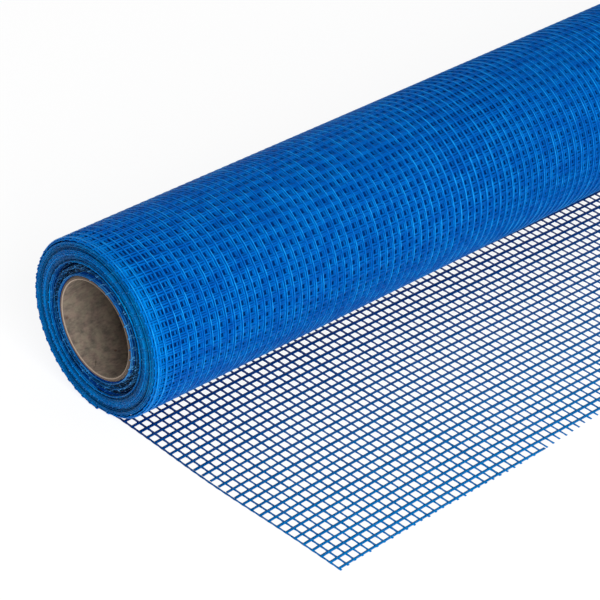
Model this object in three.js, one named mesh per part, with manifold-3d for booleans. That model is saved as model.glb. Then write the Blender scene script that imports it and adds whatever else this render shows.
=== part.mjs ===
// A roll of coated glass-fibre reinforcing mesh on a cardboard core. It lies on its side, and the
// loose end of the mesh runs out flat on the floor in front of it. Millimetres, +Z up, X along the
// core, the loose end towards -Y. The origin is at the middle of the footprint, on the floor.

import * as THREE from 'three';
import { mergeVertices } from 'three/addons/utils/BufferGeometryUtils.js';
import Module from 'manifold-3d';

// Mesh sheet
const sheetWidth = 1000;
const sheetThickness = 0.6;
const looseLength = 145.6;
const cutSkew = 0.045;
const cutSkewReach = 420;

// Plain grid that stands for the fine mesh of the loose end
const openingsAcross = 12;
const openingRows = 2;
const gridBar = 12;

// Wound roll
const rollRadius = 40.3;
const turnPitch = 0.33;
const turnsPerRidge = 4;
const ridgeDepth = 0.55;
const endOverhang = 2.5;

// Cardboard core
const coreOuterRadius = 23.4;
const coreWall = 1.8;
const coreEdgeBevel = 0.7;
const coreSetback = 0.5;
const coreClearance = 0.3;

// How far the turns stand back from the roll's end: [share of the way in from the rim, depth].
const endRecess = [
  [0.0, 0.9],
  [0.04, 0.4],
  [0.1, 0.0],
  [0.2, 0.3],
  [0.26, 1.4],
  [0.33, 0.4],
  [0.5, 0.3],
  [0.57, 1.0],
  [0.61, 0.0],
  [0.67, 1.5],
  [0.8, 1.7],
  [0.86, 0.5],
  [0.93, 1.3],
  [1.0, 0.1],
];

const facets = 48;
const cutSteps = 16;
const floorRound = 1e-4;

const boreRadius = coreOuterRadius + coreClearance;
const rollHalfLength = sheetWidth / 2 + endOverhang;
const axisHeight = rollRadius * Math.cos(Math.PI / facets);
const axisY = (looseLength - axisHeight) / 2;

// Depth of the turns behind the roll's end at a share of the way in, from the list above.
function recessAt(share) {
  const next = endRecess.findIndex(([at]) => at >= share);
  if (next <= 0) return endRecess[0][1];
  const [fromShare, fromDepth] = endRecess[next - 1];
  const [toShare, toDepth] = endRecess[next];
  return THREE.MathUtils.mapLinear(share, fromShare, toShare, fromDepth, toDepth);
}

// One end of the wound mesh as [radius, depth behind the end], from the rim in to the bore: a
// ridge and a groove for each few turns.
function woundEnd() {
  const woundThickness = rollRadius - boreRadius;
  const ridges = Math.max(1, Math.round(woundThickness / (turnPitch * turnsPerRidge)));
  const ridgePitch = woundThickness / ridges;
  const profile = [[rollRadius, ridgeDepth]];
  for (let i = 0; i < ridges; i += 1) {
    const crest = (i + 0.5) / ridges;
    const groove = (i + 1) / ridges;
    profile.push([rollRadius - ridgePitch * (i + 0.5), recessAt(crest)]);
    profile.push([rollRadius - ridgePitch * (i + 1), recessAt(groove) + ridgeDepth]);
  }
  return profile;
}

// Turns a closed profile of [radius, position along the core] about the core's axis.
function turned(profile) {
  const points = [...profile, profile[0]].map(([radius, along]) => new THREE.Vector2(radius, along));
  const geometry = new THREE.LatheGeometry(points, facets);
  geometry.rotateZ(-Math.PI / 2);
  geometry.rotateX(Math.PI / facets);
  geometry.translate(0, axisY, axisHeight);
  return geometry;
}

// Leaves only merged corners, each set to a ten-thousandth of a millimetre, so that what rests on
// the floor is level with it.
function mergedCorners(geometry) {
  const bare = new THREE.BufferGeometry();
  const position = geometry.getAttribute('position').clone();
  for (let i = 0; i < position.array.length; i += 1) {
    position.array[i] = Math.round(position.array[i] / floorRound) * floorRound;
  }
  bare.setAttribute('position', position);
  if (geometry.index) bare.setIndex(geometry.index);
  return mergeVertices(bare, floorRound);
}

function toSolid(wasm, geometry) {
  const merged = mergedCorners(geometry);
  const vertProperties = new Float32Array(merged.getAttribute('position').array);
  const triVerts = new Uint32Array(merged.index.array);
  return new wasm.Manifold(new wasm.Mesh({ numProp: 3, vertProperties, triVerts }));
}

function toGeometry(solid) {
  const { vertProperties, triVerts } = solid.getMesh();
  const geometry = new THREE.BufferGeometry();
  geometry.setAttribute('position', new THREE.BufferAttribute(vertProperties, 3));
  geometry.setIndex(new THREE.BufferAttribute(triVerts, 1));
  geometry.computeVertexNormals();
  return geometry;
}

// The wound mesh: a turned ring whose ends show the turns.
function woundTurns() {
  const end = woundEnd();
  const far = end.map(([radius, depth]) => [radius, rollHalfLength - depth]);
  const near = end.map(([radius, depth]) => [radius, -rollHalfLength + depth]).reverse();
  return turned([...near, ...far]);
}

// Length of the loose end at a place across the sheet. It is full at the -X corner, and the cut edge
// leans back towards the roll until it runs parallel to it.
function looseLengthAt(x) {
  const fromCorner = x + sheetWidth / 2;
  return looseLength - cutSkew * cutSkewReach * (1 - Math.exp(-fromCorner / cutSkewReach));
}

// One opening of the loose end's grid, seen from above, with a bar on each side of it.
function gridOpening(column, row) {
  const pitch = (sheetWidth - gridBar) / openingsAcross;
  const low = -sheetWidth / 2 + gridBar + pitch * column;
  const high = low + pitch - gridBar;
  const rowPitchAt = (x) => (looseLengthAt(x) - gridBar) / openingRows;
  const startAt = (x) => axisY - gridBar - rowPitchAt(x) * row;
  const endAt = (x) => axisY - rowPitchAt(x) * (row + 1);
  const corners = [[low, startAt(low)], [low, endAt(low)], [high, endAt(high)], [high, startAt(high)]];
  return new THREE.Path(corners.map(([x, y]) => new THREE.Vector2(x, y)));
}

// The loose end, with a plain grid of openings.
function looseEnd() {
  const half = sheetWidth / 2;
  const outline = new THREE.Shape();
  outline.moveTo(half, axisY);
  outline.lineTo(-half, axisY);
  for (let i = 0; i <= cutSteps; i += 1) {
    const x = (sheetWidth * i) / cutSteps - half;
    outline.lineTo(x, axisY - looseLengthAt(x));
  }
  for (let row = 0; row < openingRows; row += 1) {
    for (let column = 0; column < openingsAcross; column += 1) {
      outline.holes.push(gridOpening(column, row));
    }
  }
  return new THREE.ExtrudeGeometry(outline, { depth: sheetThickness, bevelEnabled: false });
}

// The cardboard tube, set back a little from the roll's ends, its inner edges worn round.
function coreTube() {
  const half = rollHalfLength - coreSetback;
  const inner = coreOuterRadius - coreWall;
  return turned([
    [inner, -half + coreEdgeBevel],
    [inner + coreEdgeBevel, -half],
    [coreOuterRadius, -half],
    [coreOuterRadius, half],
    [inner + coreEdgeBevel, half],
    [inner, half - coreEdgeBevel],
  ]);
}

const meshMaterial = new THREE.MeshStandardMaterial({ color: 0x0b62b8, roughness: 0.5, metalness: 0 });
const cardboardMaterial = new THREE.MeshStandardMaterial({ color: 0x7d6f63, roughness: 0.9, metalness: 0 });

const wasm = await Module();
wasm.setup();

const meshSolid = toSolid(wasm, woundTurns()).add(toSolid(wasm, looseEnd()));
const meshNode = new THREE.Mesh(toGeometry(meshSolid), meshMaterial);
meshNode.name = 'fiberglass_mesh';

const coreNode = new THREE.Mesh(mergedCorners(coreTube()), cardboardMaterial);
coreNode.name = 'cardboard_core';

const roll = new THREE.Group();
roll.add(meshNode, coreNode);

export default roll;
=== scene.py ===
# A roll of coated glass-fibre reinforcing mesh on a cardboard core, with its loose end on the floor.
# The mesh is built yarn by yarn: the loose end, the outer turns of the roll and the turns' edges on
# both ends, over a body that stands for the turns below, painted darker than their yarns as painted shade.
# Metres, in the frame's axes.
import math

import bpy
import numpy as np
from mathutils import Matrix, Vector


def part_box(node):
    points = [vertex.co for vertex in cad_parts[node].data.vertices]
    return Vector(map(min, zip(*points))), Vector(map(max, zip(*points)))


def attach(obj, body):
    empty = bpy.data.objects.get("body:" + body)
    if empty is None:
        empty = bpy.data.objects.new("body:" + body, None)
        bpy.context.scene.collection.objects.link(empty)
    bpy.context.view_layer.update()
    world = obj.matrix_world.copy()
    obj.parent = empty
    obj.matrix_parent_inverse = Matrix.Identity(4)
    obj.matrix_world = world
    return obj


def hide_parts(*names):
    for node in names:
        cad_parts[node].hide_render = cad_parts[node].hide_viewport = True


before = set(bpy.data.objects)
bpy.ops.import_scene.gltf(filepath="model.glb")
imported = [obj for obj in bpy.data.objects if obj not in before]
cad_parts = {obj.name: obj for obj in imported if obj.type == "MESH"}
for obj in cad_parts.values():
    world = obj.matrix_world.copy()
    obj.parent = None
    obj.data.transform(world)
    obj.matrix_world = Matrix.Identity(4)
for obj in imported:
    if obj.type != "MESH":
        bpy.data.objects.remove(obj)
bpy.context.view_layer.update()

MM = 0.001

# The frame: the roll lies on the floor, and its loose end runs out towards -Y.
mesh_low, mesh_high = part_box("fiberglass_mesh")
core_low, core_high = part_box("cardboard_core")
roll_radius = mesh_high.z / 2
axis_y = mesh_high.y - roll_radius
axis_z = roll_radius
loose_length = axis_y - mesh_low.y
core_radius = (core_high.z - core_low.z) / 2

# The mesh. Its middle is half its thickness above the floor, and the weft and warp heights are
# measured from there. The stubs are the yarns' free tips past the outermost yarn that crosses them,
# and the cut edge stands out past the frame's by cut_overhang.
sheet_half_width = 500 * MM
sheet_middle = 0.3 * MM
warp_pitch = 4.07 * MM
weft_pitch = 5.045 * MM
weft_stub = 1.2 * MM
warp_stub = 2.9 * MM
cut_skew = 0.045
cut_skew_reach = 420 * MM
cut_waver = 1.8 * MM
cut_overhang = 0.85 * MM
weft_height = -0.09 * MM
warp_height = 0.12 * MM
heavy_column = 22

# The wound turns. wound_stub is the wefts' stub on them. The sheet's edge goes over to the wound
# turns' edge within take_up of the contact line, the loose end's wefts go on for tuck under the
# roll, and each outer turn lies nearer the one above it by nesting.
turn_pitch = 0.33 * MM
wound_turns = 50
roll_half_length = 503.5 * MM
wound_stub = 0.95 * MM
take_up = 60 * MM
tuck = 4 * MM
nesting = 0.17 * MM

# The cardboard core
bore_clearance = 0.3 * MM
core_wall = 1.8 * MM
core_inner_radius = core_radius - core_wall
tube_half_length = roll_half_length - 1.0 * MM

# How far the turns stand back from the roll's end: (share of the way in from the rim, depth).
end_recess = (
    (0.0, 0.9), (0.04, 0.4), (0.1, 0.0), (0.2, 0.3), (0.26, 1.4), (0.33, 0.4), (0.5, 0.3), (0.57, 1.0),
    (0.61, 0.0), (0.63, 0.2), (0.65, 2.6), (0.77, 3.0), (0.79, 0.6), (0.81, 0.6), (0.83, 2.8), (0.93, 2.6),
    (0.95, 0.2), (1.0, -0.1),
)

# The turns nearer the core than this share of the way in are loose, and show to this depth.
loose_from = 0.62
loose_recess = 9 * MM

# How far the body below the modelled turns stands back from the tight turns' edges, from the
# roll's end next to the core, and from the turn above it.
body_recess = 1.5 * MM
body_recess_at_core = 1.4 * MM
body_clearance = 0.15 * MM

# The step along a turn's edge from one of its corners to the next, and the length of its stubs.
tight_step = 4.5 * MM
loose_step = 3 * MM
stub_length = 1.8 * MM

# How each outer turn lies off the outermost: (cells along the mesh, along the roll, inwards at the
# ends, how much it varies). The slip inwards holds within slip_end_reach of an end.
slip_end_reach = 9 * MM
layer_slips = (
    (0.0, 0.0, 0.0, 0.0), (0.2, 0.75 * MM, 0.9 * MM, 0.7), (-0.2, -0.65 * MM, 1.7 * MM, 1.0),
    (0.1, 1.05 * MM, 2.5 * MM, 1.3), (-0.1, -0.85 * MM, 0.4 * MM, 1.7),
)

# Painted shade in rings on the turns of the ends, darker where the turns stand back: (share of the way out
# from the core, tone).
ring_shade_tones = (
    (0.0, 0.6), (0.05, 0.8), (0.08, 0.12), (0.2, 0.12), (0.22, 1.0), (0.24, 0.12), (0.365, 0.12),
    (0.385, 1.0), (0.405, 0.3), (0.48, 0.42), (0.57, 0.82), (0.66, 0.78), (0.71, 0.4), (0.78, 0.42),
    (0.83, 0.72), (1.0, 0.75),
)

# Marks on the tube's inner wall: (mm behind the near end, degrees from straight down, length and
# width in mm, degrees it is turned by, shade).
wall_marks = (
    (15.6, 17.6, 1.5, 1.2, 0.0, (0.55, 0.42, 0.42)), (11.5, -13.9, 1.4, 1.0, 0.0, (0.6, 0.46, 0.42)),
    (4.1, 14.4, 5.0, 0.45, 50.0, (0.45, 0.42, 0.38)), (1.9, 75.6, 1.6, 1.4, 0.0, (0.7, 0.6, 0.56)),
)

warp_count = int((2 * sheet_half_width - 2 * weft_stub) / warp_pitch) + 1
first_weft = -loose_length - cut_overhang + warp_stub


# Helpers

def ripple(seed, *lengths):
    """Smooth waves between about -1 and 1, of the given scaled coordinates."""
    rng = np.random.default_rng(seed)
    total = 0.0
    for _ in range(6):
        pull = rng.normal(size=len(lengths))
        phase = rng.uniform(0, 2 * math.pi)
        total = total + np.sin(sum(p * q for p, q in zip(pull, lengths)) + phase)
    return total / 3


def ease(value, start, end):
    """0 before start, 1 after end, and a smooth step between them."""
    share = np.clip((value - start) / (end - start), 0, 1)
    return share * share * (3 - 2 * share)


def recess(turn):
    """How far a turn stands back from the roll's end."""
    shares, depths = zip(*end_recess)
    return np.interp(turn / wound_turns, shares, depths) * MM


def spiral_angle(along):
    """The angle from the contact line, for a length along the wound mesh."""
    start = roll_radius - sheet_middle
    return (start - np.sqrt(start * start - turn_pitch * along / math.pi)) * 2 * math.pi / turn_pitch


def place(along, x, height):
    """Points of the mesh, with their across and outward directions. along is 0 at the contact line
    and less than 0 on the loose end, and height is measured outward from the middle of the mesh."""
    along, x, height = np.broadcast_arrays(along, x, height)
    angle = spiral_angle(np.maximum(along, 0))
    radius = roll_radius - sheet_middle - turn_pitch * angle / (2 * math.pi) + height
    y = axis_y + np.minimum(along, 0) + radius * np.sin(angle)
    z = axis_z - radius * np.cos(angle)
    forward = np.stack([np.zeros_like(x), np.cos(angle), np.sin(angle)], -1)
    outward = np.stack([np.zeros_like(x), np.sin(angle), -np.cos(angle)], -1)
    return np.stack([x, y, z], -1), forward, outward


def edge(along):
    """Half the length of the mesh at a place along it: the wound turns stand out past the sheet."""
    angle = spiral_angle(np.maximum(along, 0))
    turn = angle / (2 * math.pi)
    wobble = 0.45 * ripple(9, 1.9 * turn, 0.2 * angle) + 0.15 * ripple(10, 9 * turn)
    wound = roll_half_length - recess(turn) - (0.3 + wobble) * MM
    return sheet_half_width + (wound - sheet_half_width) * ease(along, 0, take_up)


def sag(from_end, along):
    """How far a weft lies off its straight line, less than 0 away from the roll."""
    cut = np.clip(-along / loose_length, 0, 1)
    near = -2.0 * np.exp(-from_end / (32 * MM))
    swell = 0.6 * cut * np.exp(-((from_end - 100 * MM) / (40 * MM)) ** 2)
    middle = -(3.9 - 2.6 * cut) * ease(from_end, 80 * MM, 290 * MM)
    back = 1 - ease(from_end, 760 * MM, 990 * MM)
    return (near + swell + middle * back + 0.12 * ripple(3, from_end / 0.03, along / 0.02)) * MM


def drift(from_end, along):
    """How far a warp lies off its straight line, less than 0 towards the near end."""
    side = -0.6 - 1.3 * np.exp(-((along + 72 * MM) / (35 * MM)) ** 2)
    loose = side * np.exp(-from_end / (26 * MM)) * (1 - ease(along, -10 * MM, 0))
    spread = ease(from_end, 20 * MM, 240 * MM) * (1 - ease(from_end, 760 * MM, 980 * MM))
    wound = (0.2 + 0.9 * spread) * ripple(5, from_end / 0.16, along / 0.12) * ease(along, 0, take_up)
    return (loose + wound + 0.1 * ripple(7, from_end / 0.012, along / 0.04)) * MM


def warp_x(column, along):
    """Where a warp lies, for its number from the near end."""
    share = column / (warp_count - 1)
    half = edge(along) - weft_stub + (weft_stub - wound_stub) * ease(along, 0, take_up)
    straight = half * (2 * share - 1)
    return straight + drift(straight + half, along)


def cut_line(x):
    """The cut edge of the loose end, along the mesh."""
    from_end = x + sheet_half_width
    lean = cut_skew * cut_skew_reach * (1 - np.exp(-from_end / cut_skew_reach))
    waver = cut_waver * np.exp(-((from_end - 105 * MM) / (45 * MM)) ** 2)
    return -loose_length - cut_overhang + lean - waver


def plumpness(along):
    """How much thicker the yarns of the loose end look towards the roll."""
    return 1 + 0.2 * ease(along, -80 * MM, -10 * MM)


def turn_start(turn):
    """The length along the wound mesh at which a turn starts, at the contact line."""
    angle = 2 * math.pi * turn
    return (roll_radius - sheet_middle) * angle - turn_pitch * angle * angle / (4 * math.pi)


def under(layer, along):
    """The length along the wound mesh that lies right under a place on the outer turn."""
    if layer == 0:
        return along
    return turn_start(layer + spiral_angle(np.maximum(along, 0)) / (2 * math.pi))


def slip_along(layer, along, x):
    """How far an inner turn's grid lies off the outer turn's, along the mesh."""
    cells, _, _, vary = layer_slips[layer]
    return weft_pitch * (cells + 0.1 * vary * ripple(60 + layer, x / 0.11, along / 0.07))


def slip_across(layer, along, x):
    """How far an inner turn's grid lies off the outer turn's, along the roll."""
    _, across, at_end, vary = layer_slips[layer]
    from_end = np.maximum(sheet_half_width - np.abs(x), 0)
    near_end = np.exp(-from_end / slip_end_reach)
    middle = across * (1 + 0.5 * ease(from_end, 50 * MM, 210 * MM))
    middle = middle + 0.3 * MM * vary * ripple(70 + layer, x / 0.12, along / 0.06)
    return middle * (1 - near_end) - at_end * np.sign(x) * near_end


def roll_direction(points):
    """The direction along the roll, once for each point."""
    return np.broadcast_to((1.0, 0.0, 0.0), points.shape)


def add_object(name, data):
    made = bpy.data.objects.new(name, data)
    bpy.context.scene.collection.objects.link(made)
    return made


class Net:
    """Collects yarns and makes one mesh of them."""

    def __init__(self, section):
        self.section = np.array(section, float)
        self.corners, self.quads, self.caps, self.wraps = [], [], [], []
        self.count = 0

    def yarn(self, points, across, outward, half_width, half_height, offset=0.0):
        """Adds a yarn with its section at each of the points. offset shifts its look along it."""
        section = self.section
        sides, steps = len(section), len(points)
        wide = np.broadcast_to(half_width, steps)[:, None, None] * across[:, None, :]
        high = np.broadcast_to(half_height, steps)[:, None, None] * outward[:, None, :]
        ring = points[:, None, :] + section[None, :, :1] * wide + section[None, :, 1:] * high
        self.corners.append(ring.reshape(-1, 3))
        step, side = np.meshgrid(np.arange(steps - 1), np.arange(sides), indexing="ij")
        follow = (side + 1) % sides
        quad = np.stack([
            step * sides + side, step * sides + follow,
            (step + 1) * sides + follow, (step + 1) * sides + side,
        ], -1).reshape(-1, 4)
        self.quads.append(quad + self.count)
        run = np.concatenate([[0], np.cumsum(np.linalg.norm(np.diff(points, axis=0), axis=1))]) + offset
        wrap = np.stack([
            np.stack([run[step], side / sides], -1), np.stack([run[step], (side + 1) / sides], -1),
            np.stack([run[step + 1], (side + 1) / sides], -1), np.stack([run[step + 1], side / sides], -1),
        ], 2).reshape(-1, 4, 2)
        self.wraps.append(wrap)
        self.caps.append(np.arange(sides)[::-1] + self.count)
        self.caps.append(np.arange(sides) + self.count + (steps - 1) * sides)
        self.count += steps * sides

    def piece(self, name, material):
        sides = len(self.section)
        corners = np.concatenate(self.corners)
        quads = np.concatenate(self.quads)
        caps = np.array(self.caps)
        loops = np.concatenate([quads.reshape(-1), caps.reshape(-1)])
        starts = np.concatenate([
            np.arange(len(quads)) * 4, len(quads) * 4 + np.arange(len(caps)) * sides,
        ])
        mesh = bpy.data.meshes.new(name)
        mesh.vertices.add(len(corners))
        mesh.vertices.foreach_set("co", corners.astype(np.float32).reshape(-1))
        mesh.loops.add(len(loops))
        mesh.loops.foreach_set("vertex_index", loops.astype(np.int32))
        mesh.polygons.add(len(starts))
        mesh.polygons.foreach_set("loop_start", starts.astype(np.int32))
        mesh.update(calc_edges=True)
        mesh.polygons.foreach_set("use_smooth", np.arange(len(starts)) < len(quads))
        wrap = np.zeros((len(loops), 2), np.float32)
        wrap[: len(quads) * 4] = np.concatenate(self.wraps).reshape(-1, 2)
        mesh.uv_layers.new(name="yarn").data.foreach_set("uv", wrap.reshape(-1))
        mesh.validate()
        piece = add_object(name, mesh)
        piece.data.materials.append(material)
        return piece


# Cross-sections of the yarns, and the share of the way around each at which its crest lies.
HALF_ROUND = ((-1.0, -0.7), (1.0, -0.7), (0.0, 1.3))
ROUND = ((1.0, -0.1), (0.6, 0.8), (-0.6, 0.8), (-1.0, -0.1), (0.0, -0.9))
DIAMOND = ((1.0, 0.0), (0.0, 1.0), (-1.0, 0.0), (0.0, -1.0))
HALF_ROUND_CREST = 2 / 3
ROUND_CREST = 0.3
DIAMOND_CREST = 0.25


# Materials

def node(tree, kind, place_at, **values):
    """A new node at a place in the tree's layout, with its options set."""
    made = tree.nodes.new(kind)
    made.location = place_at
    for name, value in values.items():
        setattr(made, name, value)
    return made


def feed(tree, socket, value):
    """Sets an input to a number or a colour, or links a node's output to it."""
    if isinstance(value, bpy.types.NodeSocket):
        tree.links.new(value, socket)
    else:
        socket.default_value = value


def noise(tree, place_at, where, scale, detail):
    made = node(tree, "ShaderNodeTexNoise", place_at)
    made.inputs["Scale"].default_value = scale
    made.inputs["Detail"].default_value = detail
    feed(tree, made.inputs["Vector"], where)
    return made.outputs["Fac"]


def math_of(tree, place_at, operation, *values):
    made = node(tree, "ShaderNodeMath", place_at, operation=operation)
    for socket, value in zip(made.inputs, values):
        feed(tree, socket, value)
    return made.outputs["Value"]


def part_of(tree, place_at, where, axis):
    made = node(tree, "ShaderNodeSeparateXYZ", place_at)
    feed(tree, made.inputs["Vector"], where)
    return made.outputs[axis]


def rescaled(tree, place_at, value, start, end, to_start=0.0, to_end=1.0, kind="LINEAR"):
    """A number moved from the range between start and end to another one, and held within that."""
    made = node(tree, "ShaderNodeMapRange", place_at, interpolation_type=kind)
    made.inputs["From Min"].default_value = start
    made.inputs["From Max"].default_value = end
    made.inputs["To Min"].default_value = to_start
    made.inputs["To Max"].default_value = to_end
    feed(tree, made.inputs["Value"], value)
    return made.outputs["Result"]


def ramp(tree, place_at, value, *stops):
    """The colour for a number, from stops of (number, colour)."""
    made = node(tree, "ShaderNodeValToRGB", place_at)
    elements = made.color_ramp.elements
    for element, (at, colour) in ((elements[0], stops[0]), (elements[1], stops[-1])):
        element.position = at
        element.color = (*colour, 1)
    for at, colour in stops[1:-1]:
        elements.new(at).color = (*colour, 1)
    feed(tree, made.inputs["Fac"], value)
    return made.outputs["Color"]


def mixed(tree, place_at, share, first, second, blend_type="MIX"):
    """A colour blended with a second one by a share."""
    made = node(tree, "ShaderNodeMix", place_at, data_type="RGBA", blend_type=blend_type)
    feed(tree, made.inputs["Factor"], share)
    feed(tree, made.inputs["A"], first)
    feed(tree, made.inputs["B"], second)
    return made.outputs["Result"]


def from_roll_axis(tree, place_at, where):
    """How far a place is from the roll's axis."""
    flat = node(tree, "ShaderNodeVectorMath", place_at, operation="MULTIPLY_ADD")
    flat.inputs[1].default_value = (0.0, 1.0, 1.0)
    flat.inputs[2].default_value = (0.0, -axis_y, -axis_z)
    feed(tree, flat.inputs[0], where)
    radius = node(tree, "ShaderNodeVectorMath", (place_at[0] + 200, place_at[1]), operation="LENGTH")
    feed(tree, radius.inputs[0], flat.outputs["Vector"])
    return radius.outputs["Value"]


def from_roll_middle(tree, place_at, where):
    """How far a place is from the middle of the roll, along it."""
    place_x = part_of(tree, (place_at[0] - 200, place_at[1]), where, "X")
    return math_of(tree, place_at, "ABSOLUTE", place_x)


def add_bump(tree, shader, height, strength, distance):
    made = node(tree, "ShaderNodeBump", (-300, -300))
    made.inputs["Strength"].default_value = strength
    made.inputs["Distance"].default_value = distance
    feed(tree, made.inputs["Height"], height)
    feed(tree, shader.inputs["Normal"], made.outputs["Normal"])


def new_material(name):
    """A material, with its node tree and its shader."""
    material = bpy.data.materials.new(name)
    material.use_nodes = True
    tree = material.node_tree
    return material, tree, tree.nodes["Principled BSDF"]


def shade_painted_near_roll(tree, where, patch, shade):
    """The yarns of the loose end are painted darker towards the roll: painted shade of the roll."""
    place_y = part_of(tree, (-700, -600), where, "Y")
    out = rescaled(tree, (-500, -600), place_y, axis_y - 20 * MM, axis_y - loose_length)
    tone = ramp(tree, (-300, -600), out, (0.0, (0.3, 0.19, 0.38)), (1.0, (1, 1, 1)))
    return mixed(tree, (-100, 0), 1.0, shade, tone, "MULTIPLY")


def light_painted_at_ends(tree, where, patch, shade):
    """The outer turns are painted brighter and more azure on the roll's shoulders: painted light for the
    lit band along the rim.
    """
    reach = from_roll_middle(tree, (-500, -600), where)
    start, end = roll_half_length - 11 * MM, roll_half_length - 5 * MM
    at_end = rescaled(tree, (-300, -800), reach, start, end, 0.0, 0.22)
    return mixed(tree, (-100, 0), at_end, shade, (0.0, 0.32, 0.85, 1))


def rings_of_painted_shade(tree, where, patch, shade):
    """The turns' edges are painted darker in some rings than in others, which wander a little: painted
    shade of the recessed turns.
    """
    radius = from_roll_axis(tree, (-900, -900), where)
    outwards = rescaled(tree, (-500, -900), radius, core_radius, roll_radius, -0.02, 0.98)
    wandering = math_of(tree, (-300, -900), "MULTIPLY_ADD", patch, 0.04, outwards)
    rings = ramp(tree, (-100, -900), wandering, *[(at, (tone, tone, tone)) for at, tone in ring_shade_tones])
    return mixed(tree, (100, -300), 1.0, shade, rings, "MULTIPLY")


def yarn_material(
    name, deep, bright, crest, crest_at, roughness=0.34, gloss=0.3, streaks=300.0, tone=None,
):
    """Coated glass yarn: short streaks, a slow change of shade and a painted highlight along its crest, in
    dashes.
    tone, if given, is one of the three functions above, which paint shade or light by where it is."""
    material, tree, shader = new_material(name)
    wrap = node(tree, "ShaderNodeUVMap", (-1500, 0), uv_map="yarn").outputs["UV"]
    where = node(tree, "ShaderNodeTexCoord", (-1500, -300)).outputs["Object"]
    stretch = node(tree, "ShaderNodeMapping", (-1300, 0))
    stretch.inputs["Scale"].default_value = (streaks, 9.0, 1.0)
    feed(tree, stretch.inputs["Vector"], wrap)
    streak = noise(tree, (-1100, 0), stretch.outputs["Vector"], 1.0, 3.0)
    patch = noise(tree, (-1100, -300), where, 150.0, 2.0)
    blend = math_of(tree, (-900, -100), "MULTIPLY_ADD", streak, 0.6, patch)
    shade = ramp(tree, (-700, 0), blend, (0.55, deep), (1.0, bright))

    # A painted highlight: a lighter colour along the crest, broken into dashes of glints.
    around = part_of(tree, (-1300, 300), wrap, "Y")
    off_crest = math_of(tree, (-1100, 300), "SUBTRACT", around, crest_at)
    distance = math_of(tree, (-900, 300), "ABSOLUTE", off_crest)
    line = rescaled(tree, (-700, 300), distance, 0.13, 0.01, kind="SMOOTHSTEP")
    glint_dashes = rescaled(tree, (-700, 550), patch, 0.4, 0.62, 0.1)
    painted_highlight = math_of(tree, (-500, 300), "MULTIPLY", line, glint_dashes)
    shade = mixed(tree, (-300, 100), painted_highlight, shade, (*crest, 1))
    if tone is not None:
        shade = tone(tree, where, patch, shade)

    finish = rescaled(tree, (-300, -550), streak, 0.3, 0.7, roughness - 0.08, roughness + 0.1)
    add_bump(tree, shader, streak, 0.35, 0.05 * MM)
    feed(tree, shader.inputs["Base Color"], shade)
    feed(tree, shader.inputs["Roughness"], finish)
    shader.inputs["Specular IOR Level"].default_value = gloss
    shader.inputs["Specular Tint"].default_value = (0.05, 0.45, 0.9, 1)
    return material


def body_material():
    """The turns below the modelled ones: a weave of their yarns, painted darker than the yarns as painted
    shade.
    """
    material, tree, shader = new_material("shaded_deep_turns")
    where = node(tree, "ShaderNodeTexCoord", (-1100, 0)).outputs["Object"]
    grain = noise(tree, (-900, 0), where, 700.0, 3.0)
    shade = ramp(tree, (-600, 0), grain, (0.35, (0.0, 0.035, 0.24)), (0.7, (0.0, 0.065, 0.36)))
    add_bump(tree, shader, grain, 0.5, 0.3 * MM)
    feed(tree, shader.inputs["Base Color"], shade)
    shader.inputs["Roughness"].default_value = 0.6
    shader.inputs["Specular IOR Level"].default_value = 0.1
    shader.inputs["Specular Tint"].default_value = (0.02, 0.4, 1.0, 1)
    return material


def cut_end_with_edge_highlight(tree, where, shade):
    """The tube's cut end: brown on the outer plies, and pale at the inner edge, a painted highlight of the
    lit edge.
    """
    reach = from_roll_middle(tree, (-1700, 500), where)
    at_end = rescaled(tree, (-1500, 500), reach, tube_half_length - 0.4 * MM, tube_half_length - 0.2 * MM)
    radius = from_roll_axis(tree, (-1900, 800), where)
    through_wall = rescaled(tree, (-1500, 800), radius, core_inner_radius, core_radius)
    # The end's colours: brown plies, and a painted highlight on the inner edge.
    plies = ramp(
        tree, (-1300, 800), through_wall, (0.0, (0.38, 0.30, 0.24)), (0.25, (0.36, 0.28, 0.22)),
        (0.38, (0.09, 0.065, 0.05)), (0.55, (0.16, 0.115, 0.088)), (0.8, (0.09, 0.065, 0.05)),
        (1.0, (0.09, 0.062, 0.047)),
    )
    return mixed(tree, (-800, 200), at_end, shade, plies)


def wall_mark(tree, number, where, shade, behind, angle, length, width, turn, tone):
    """A mark on the tube's inner wall."""
    down = math.radians(angle)
    node_y = 1100 + 300 * number
    near = node(tree, "ShaderNodeMapping", (-1900, node_y), vector_type="TEXTURE")
    near.inputs["Location"].default_value = (
        -tube_half_length + behind * MM,
        axis_y + core_inner_radius * math.sin(down),
        axis_z - core_inner_radius * math.cos(down),
    )
    turned_by = Matrix.Rotation(down, 3, "X") @ Matrix.Rotation(math.radians(turn), 3, "Z")
    near.inputs["Rotation"].default_value = turned_by.to_euler()
    near.inputs["Scale"].default_value = (length * MM / 2, width * MM / 2, 3 * MM)
    feed(tree, near.inputs["Vector"], where)
    away = node(tree, "ShaderNodeVectorMath", (-1700, node_y), operation="LENGTH")
    feed(tree, away.inputs[0], near.outputs["Vector"])
    spot = rescaled(tree, (-1500, node_y), away.outputs["Value"], 1.2, 0.5, kind="SMOOTHSTEP")
    return mixed(tree, (-600 + 150 * number, 400), spot, shade, (*tone, 1), "MULTIPLY")


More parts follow.
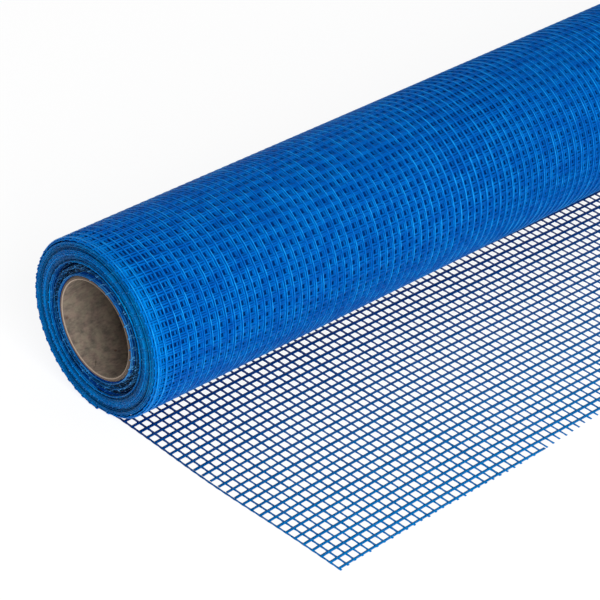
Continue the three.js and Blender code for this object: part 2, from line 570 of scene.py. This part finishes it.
def cardboard_material():
    """Grey-brown spiral-wound board with short fibres, with brown plies and a painted highlight on the
    inner edge where the end is cut, and a few marks.
    """
    material, tree, shader = new_material("grey_cardboard")
    where = node(tree, "ShaderNodeTexCoord", (-2100, 0)).outputs["Object"]
    stretch = node(tree, "ShaderNodeMapping", (-1900, 0))
    stretch.inputs["Rotation"].default_value = (0.3, 0.5, 0.2)
    stretch.inputs["Scale"].default_value = (1.0, 2.0, 2.0)
    feed(tree, stretch.inputs["Vector"], where)
    fibre = noise(tree, (-1700, 0), stretch.outputs["Vector"], 480.0, 5.0)
    cloud = noise(tree, (-1700, -300), where, 260.0, 3.0)
    blend = math_of(tree, (-1500, -100), "MULTIPLY_ADD", fibre, 0.7, cloud)
    shade = ramp(tree, (-1300, 0), blend, (0.6, (0.108, 0.09, 0.076)), (1.0, (0.23, 0.187, 0.147)))
    tint = noise(tree, (-1500, -600), where, 330.0, 2.0)
    tints = ramp(tree, (-1300, -600), tint, (0.35, (1.0, 0.92, 0.93)), (0.65, (0.97, 1.0, 0.95)))
    shade = mixed(tree, (-1000, 0), 1.0, shade, tints, "MULTIPLY")
    shade = cut_end_with_edge_highlight(tree, where, shade)
    for number, mark in enumerate(wall_marks):
        shade = wall_mark(tree, number, where, shade, *mark)
    add_bump(tree, shader, fibre, 0.4, 0.12 * MM)
    feed(tree, shader.inputs["Base Color"], shade)
    shader.inputs["Roughness"].default_value = 0.9
    shader.inputs["Specular IOR Level"].default_value = 0.3
    return material


# Pieces

def add_weft(net, layer, row, half_width, half_height, step, reach_low=None, reach_high=None):
    """One weft, from end to end of the mesh or between two places along the roll. step is the number
    of warps from one of its corners to the next."""
    outer = first_weft + weft_pitch * row
    deep = float(under(layer, outer))
    end_x = edge(deep) - layer_slips[layer][2]
    low = -end_x if reach_low is None else reach_low
    high = end_x if reach_high is None else reach_high
    crossings = warp_x(np.arange(0, warp_count - 1 + step / 2, step), deep)
    inside = crossings[(crossings > low + 0.3 * MM) & (crossings < high - 0.3 * MM)]
    x = np.concatenate([[low], inside, [high]])
    along = np.full_like(x, outer)
    lie = under(layer, along + slip_along(layer, along, x) + sag(x + sheet_half_width, along))
    points, forward, outward = place(lie, x, weft_height + nesting * layer)
    net.yarn(points, -forward, outward, half_width, half_height, outer)


def add_warp(net, layer, column, start, end, waist, knot, half_height, per_cell):
    """One warp between two places on the outer turn, with a knot where it crosses each weft."""
    first = math.ceil((start - first_weft) / weft_pitch * per_cell + 0.2)
    last = math.floor((end - first_weft) / weft_pitch * per_cell - 0.2)
    straight = first_weft + weft_pitch * np.arange(first, last + 1) / per_cell
    x = warp_x(column, under(layer, straight))
    outer = straight + sag(x + sheet_half_width, straight)
    outer = np.concatenate([[start], outer[(outer > start) & (outer < end)], [end]])
    deep = under(layer, outer)
    x = warp_x(column, deep)
    x = x + slip_across(layer, outer, x)
    unslipped = outer - sag(x + sheet_half_width, outer) - slip_along(layer, outer, x)
    rows = (unslipped - first_weft) / weft_pitch
    at_crossing = 0.5 + 0.5 * np.cos(2 * math.pi * rows) if per_cell > 1 else np.full(len(outer), 0.5)
    height = warp_height + nesting * layer + 0.05 * MM * at_crossing
    points, forward, outward = place(deep, x, height)
    swell = plumpness(outer) if start < 0 else 1.0
    half_width = swell * (waist + (knot - waist) * at_crossing)
    net.yarn(points, roll_direction(points), outward, half_width, half_height, 0.37 * column)


def loose_end(name, from_x, to_x, first_column, last_column, material):
    """The loose end between two places along the roll: its wefts and warps, up to the cut edge."""
    net = Net(ROUND)
    rng = np.random.default_rng(11)
    thickness = rng.uniform(0.9, 1.1, warp_count)
    thickness[heavy_column] = 1.25
    ends = rng.uniform(-0.3, 0.3, warp_count) * MM
    x = np.linspace(from_x, to_x, 400)
    for row in range(math.floor((tuck - first_weft) / weft_pitch) + 1):
        along = first_weft + weft_pitch * row
        held = along + sag(x + sheet_half_width, np.full_like(x, along)) > cut_line(x) + 0.3 * MM
        if not held[0]:
            continue
        to = to_x if held.all() else x[np.argmin(held)]
        low = None if from_x < 0 else from_x
        high = None if to == sheet_half_width else to
        half_width = 0.74 * MM * (0.93 + 0.14 * ((row * 7) % 5) / 4) * plumpness(along)
        add_weft(net, 0, row, half_width, 0.2 * MM, 1, low, high)
    for column in range(first_column, last_column):
        start = float(cut_line(warp_x(column, -loose_length))) + ends[column]
        thick = thickness[column]
        waist, knot = 0.47 * MM * thick, 0.64 * MM * thick
        add_warp(net, 0, column, start, tuck - 1 * MM, waist, knot, 0.2 * MM, 2)
    return net.piece(name, material)


def wound_warps(name, layer, per_cell, waist, knot, half_height, material):
    """All warps of one outer turn."""
    net = Net(HALF_ROUND)
    thickness = np.random.default_rng(41 + layer).uniform(0.85, 1.15, warp_count)
    for column in range(warp_count):
        thick = thickness[column]
        add_warp(net, layer, column, 0.0, turn_start(1), waist * thick, knot * thick, half_height, per_cell)
    return net.piece(name, material)


def wound_wefts(name, layer, step, half_width, material):
    """All wefts of one outer turn."""
    net = Net(HALF_ROUND)
    first = math.ceil(-first_weft / weft_pitch)
    last = math.floor((turn_start(1) - first_weft) / weft_pitch)
    for row in range(first, last + 1):
        add_weft(net, layer, row, half_width, 0.1 * MM, step)
    return net.piece(name, material)


def bunched(turn, angle):
    """How far a turn near the core lies off its even spacing: the loose turns gather in three groups."""
    turns = (30.5, 31.5, 34.0, 35.5, 38.0, 41.0, 42.5, 49.5)
    off = (0.0, 0.35, 0.75, -0.7, 0.0, 0.45, -0.35, 0.25)
    wave = 0.22 * ripple(31, turn / 2.2, 1.4 * angle) * ease(turn, 31, 33)
    return (np.interp(turn, turns, off) + wave) * MM


def end_turns(name, side, material):
    """The edges of the tightly wound turns on one end: a spiral of the last warp, and its weft stubs."""
    net = Net(DIAMOND)
    rng = np.random.default_rng(21 if side < 0 else 22)
    layers = len(layer_slips)
    start, end = turn_start(layers), turn_start(wound_turns * loose_from)
    along = np.linspace(start, end, int((end - start) / tight_step))
    depth = (0.55 + 0.2 * ripple(33, along / 0.05)) * MM
    points, forward, outward = place(along, side * (edge(along) - depth), 0.0)
    net.yarn(points, roll_direction(points), outward, 0.4 * MM, 0.2 * MM)
    first = math.ceil((start - first_weft) / weft_pitch)
    last = math.floor((end - first_weft) / weft_pitch)
    for row in range(first, last):
        lie = first_weft + weft_pitch * row
        tip = edge(lie) + rng.uniform(-0.2, 0.2) * MM
        x = np.array([tip - stub_length, tip]) * side
        bend = np.array([0.0, rng.uniform(-0.2, 0.2)]) * MM
        if side < 0:
            x, bend = x[::-1], bend[::-1]
        points, forward, outward = place(lie + bend, x, 0.0)
        net.yarn(points, -forward, outward, 0.5 * MM, 0.17 * MM, lie)
    return net.piece(name, material)


def loose_turns(side):
    """The loose turns near the core on one end: their warps, and the wefts that run into the dark."""
    warps, wefts = Net(DIAMOND), Net(DIAMOND)
    rng = np.random.default_rng(23 if side < 0 else 24)
    start, end = turn_start(wound_turns * loose_from), turn_start(wound_turns - 0.5)
    warps_in = 3
    for warp in range(warps_in):
        along = np.linspace(start, end, int((end - start) / loose_step))
        angle = spiral_angle(along)
        shift = bunched(angle / (2 * math.pi), angle)
        inward = 0.7 * MM + warp_pitch * warp + 0.3 * MM * ripple(35 + warp, 1.7 * angle)
        points, forward, outward = place(along, side * (edge(along) - inward), shift)
        warps.yarn(points, roll_direction(points), outward, 0.36 * MM, 0.17 * MM, 0.6 * warp)
    first = math.ceil((start - first_weft) / weft_pitch)
    last = math.floor((end - first_weft) / weft_pitch)
    for row in range(first, last):
        lie = first_weft + weft_pitch * row
        angle = float(spiral_angle(lie))
        tip = float(edge(lie)) + rng.uniform(-0.3, 0.3) * MM
        depth = np.array([loose_recess, weft_stub + warp_pitch, 0.0])
        x = (tip - depth) * side
        bend = np.array([0.0, 0.0, rng.uniform(-0.3, 0.3)]) * MM
        if side < 0:
            x, bend = x[::-1], bend[::-1]
        points, forward, outward = place(lie + bend, x, float(bunched(angle / (2 * math.pi), angle)))
        wefts.yarn(points, -forward, outward, 0.42 * MM, 0.16 * MM, lie)
    which = "near" if side < 0 else "far"
    return [
        warps.piece("loose_warps_" + which, loose_warp_blue),
        wefts.piece("loose_wefts_" + which, loose_weft_blue),
    ]


def turned(name, profile, sides, material):
    """A closed profile of (radius, place along the roll), turned about the roll's axis."""
    profile = np.array(profile, float)
    angle = np.arange(sides) * 2 * math.pi / sides
    ring = np.stack([
        np.broadcast_to(profile[None, :, 1], (sides, len(profile))),
        axis_y + profile[None, :, 0] * np.sin(angle)[:, None],
        axis_z - profile[None, :, 0] * np.cos(angle)[:, None],
    ], -1).reshape(-1, 3)
    count = len(profile)
    faces = []
    for i in range(sides):
        for j in range(count):
            here, beyond = i * count, ((i + 1) % sides) * count
            faces.append((here + j, here + (j + 1) % count, beyond + (j + 1) % count, beyond + j))
    mesh = bpy.data.meshes.new(name)
    mesh.from_pydata(ring.tolist(), [], faces)
    mesh.update()
    piece = add_object(name, mesh)
    piece.data.materials.append(material)
    for face in mesh.polygons:
        face.use_smooth = True
    return piece


def wound_body(material):
    """The turns below the modelled ones. The body stands back from the turns' edges, by more where
    they are loose, and comes forward again next to the core."""
    outer = roll_radius - sheet_middle - len(layer_slips) * turn_pitch - body_clearance
    inner = core_radius + bore_clearance
    shares = np.linspace(0, 1, 65)
    radii = outer + (inner - outer) * shares
    share = (roll_radius - radii) / (roll_radius - inner)
    depth = recess(share * wound_turns) + body_recess
    depth = depth + (loose_recess - depth) * ease(share, loose_from + 0.01, loose_from + 0.03)
    depth = depth + (body_recess_at_core - depth) * ease(share, 0.955, 0.965)
    far = [(r, roll_half_length - d) for r, d in zip(radii, depth)]
    near = [(r, -x) for r, x in reversed(far)]
    return turned("wound_body", near + far, 160, material)


def core_tube(material):
    """The cardboard tube. A groove shows between two plies of its ends, and its edges are worn."""
    half = tube_half_length
    inner = core_inner_radius
    far = [
        (core_radius, half - 0.5 * MM), (core_radius - 0.4 * MM, half - 0.35 * MM),
        (core_radius - 0.5 * MM, half), (inner + 0.95 * MM, half), (inner + 0.85 * MM, half - 0.15 * MM),
        (inner + 0.75 * MM, half), (inner + 0.35 * MM, half - 0.05 * MM),
        (inner + 0.1 * MM, half - 0.3 * MM), (inner, half - 0.7 * MM),
    ]
    near = [(r, -x) for r, x in reversed(far)]
    return turned("core_tube", near + far, 128, material)


# Yarn materials: their third colour is a painted highlight along the crest. The outer wefts and the deeper
# turns are painted a little darker than the outer warps, as painted shade.
loose_blue = yarn_material(
    "loose_yarn", (0.0, 0.13, 0.40), (0.0, 0.185, 0.53), (0.0, 0.24, 0.62), ROUND_CREST, gloss=0.15,
    tone=shade_painted_near_roll,
)
top_warp_blue = yarn_material(
    "top_warp_yarn", (0.0, 0.12, 0.52), (0.0, 0.17, 0.64), (0.02, 0.46, 0.96), HALF_ROUND_CREST, 0.28,
    tone=light_painted_at_ends,
)
top_weft_blue = yarn_material(
    "top_weft_yarn", (0.0, 0.08, 0.40), (0.0, 0.14, 0.56), (0.0, 0.12, 0.50), HALF_ROUND_CREST, 0.45,
    gloss=0.1, streaks=1000.0, tone=light_painted_at_ends,
)
second_warp_blue = yarn_material(
    "second_warp_yarn", (0.0, 0.10, 0.47), (0.0, 0.15, 0.58), (0.0, 0.28, 0.74), HALF_ROUND_CREST, 0.35,
    gloss=0.25, tone=light_painted_at_ends,
)
inner_blue = yarn_material(
    "inner_yarn", (0.0, 0.09, 0.43), (0.0, 0.14, 0.55), (0.0, 0.13, 0.52), HALF_ROUND_CREST, 0.5,
    gloss=0.1, streaks=900.0, tone=light_painted_at_ends,
)
end_blue = yarn_material(
    "end_yarn", (0.0, 0.135, 0.49), (0.0, 0.23, 0.67), (0.0, 0.40, 0.86), DIAMOND_CREST, 0.4,
    gloss=0.25, tone=rings_of_painted_shade,
)
loose_warp_blue = yarn_material(
    "loose_warp_yarn", (0.0, 0.12, 0.46), (0.02, 0.24, 0.66), (0.12, 0.5, 0.9), DIAMOND_CREST, 0.35,
    tone=rings_of_painted_shade,
)
loose_weft_blue = yarn_material(
    "loose_weft_yarn", (0.0, 0.03, 0.15), (0.04, 0.24, 0.56), (0.12, 0.42, 0.75), DIAMOND_CREST, 0.35,
)
shaded_deep_blue = body_material()
cardboard = cardboard_material()

columns_near = warp_count // 2
loose_pieces = [
    loose_end("loose_end_near", -sheet_half_width, 0.0, 0, columns_near, loose_blue),
    loose_end("loose_end_far", 0.0, sheet_half_width, columns_near, warp_count, loose_blue),
]
made = loose_pieces + [
    wound_warps("outer_warps", 0, 2, 0.33 * MM, 0.46 * MM, 0.24 * MM, top_warp_blue),
    wound_wefts("outer_wefts", 0, 1, 0.6 * MM, top_weft_blue),
    wound_warps("second_warps", 1, 1, 0.42 * MM, 0.42 * MM, 0.2 * MM, second_warp_blue),
    wound_wefts("second_wefts", 1, 3, 0.7 * MM, inner_blue),
    wound_warps("third_warps", 2, 0.8, 0.54 * MM, 0.54 * MM, 0.18 * MM, second_warp_blue),
    wound_wefts("third_wefts", 2, 4, 0.74 * MM, inner_blue),
    wound_warps("fourth_warps", 3, 0.7, 0.62 * MM, 0.62 * MM, 0.18 * MM, inner_blue),
    wound_wefts("fourth_wefts", 3, 4, 0.8 * MM, inner_blue),
    wound_warps("fifth_warps", 4, 0.7, 0.62 * MM, 0.62 * MM, 0.18 * MM, inner_blue),
    wound_wefts("fifth_wefts", 4, 4, 0.8 * MM, inner_blue),
    end_turns("end_turns_near", -1, end_blue),
    end_turns("end_turns_far", 1, end_blue),
    *loose_turns(-1),
    *loose_turns(1),
]
body = wound_body(shaded_deep_blue)
made.append(body)
for piece in made:
    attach(piece, "root")
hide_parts("fiberglass_mesh")

core = core_tube(cardboard)
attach(core, "root")
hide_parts("cardboard_core")

# Floor, light and camera
floor_mesh = bpy.data.meshes.new("floor")
span = 6.0
floor_corners = [(-span, -span, 0), (span, -span, 0), (span, span, 0), (-span, span, 0)]
floor_mesh.from_pydata(floor_corners, [], [(0, 1, 2, 3)])
floor = add_object("floor", floor_mesh)
pale, _, pale_shader = new_material("pale_floor")
pale_shader.inputs["Base Color"].default_value = (0.2, 0.2, 0.2, 1)
pale_shader.inputs["Emission Color"].default_value = (1, 1, 1, 1)
pale_shader.inputs["Emission Strength"].default_value = 0.85
pale_shader.inputs["Roughness"].default_value = 0.9
pale_shader.inputs["Specular IOR Level"].default_value = 0.1
floor_mesh.materials.append(pale)


def softbox(name, at, aim, width, height, power):
    """A rectangular lamp that faces a place."""
    light = bpy.data.lights.new(name, "AREA")
    light.shape = "RECTANGLE"
    light.size, light.size_y = width, height
    light.energy = power
    lamp = add_object(name, light)
    lamp.location = at
    lamp.rotation_euler = (Vector(aim) - Vector(at)).to_track_quat("-Z", "Y").to_euler()


softbox("key", (-0.98, -1.2, 0.81), (-0.6, 0, 0), 0.75, 0.75, 20.5)

world = bpy.data.worlds.new("studio")
bpy.context.scene.world = world
world.use_nodes = True
world.node_tree.nodes["Background"].inputs["Color"].default_value = (1, 1, 1, 1)
world.node_tree.nodes["Background"].inputs["Strength"].default_value = 0.43

# The camera's place is given from the near corner of the sheet and the line where the roll rests.
camera_data = bpy.data.cameras.new("camera")
camera_data.sensor_width = 36
camera_data.lens = 162.8
camera = add_object("camera", camera_data)
camera.location = (-1.0690, axis_y - 0.7436, 0.6516)
azimuth, elevation, tilt = math.radians(42.47), math.radians(32.624), math.radians(0.627)
forward = Vector((
    math.sin(azimuth) * math.cos(elevation), math.cos(azimuth) * math.cos(elevation), -math.sin(elevation),
))
level = Vector((math.cos(azimuth), -math.sin(azimuth), 0))
right = Matrix.Rotation(-tilt, 3, forward) @ level
up = right.cross(forward)
camera.rotation_euler = Matrix((right, up, -forward)).transposed().to_euler()
bpy.context.scene.camera = camera
bpy.context.scene.view_settings.view_transform = "Standard"
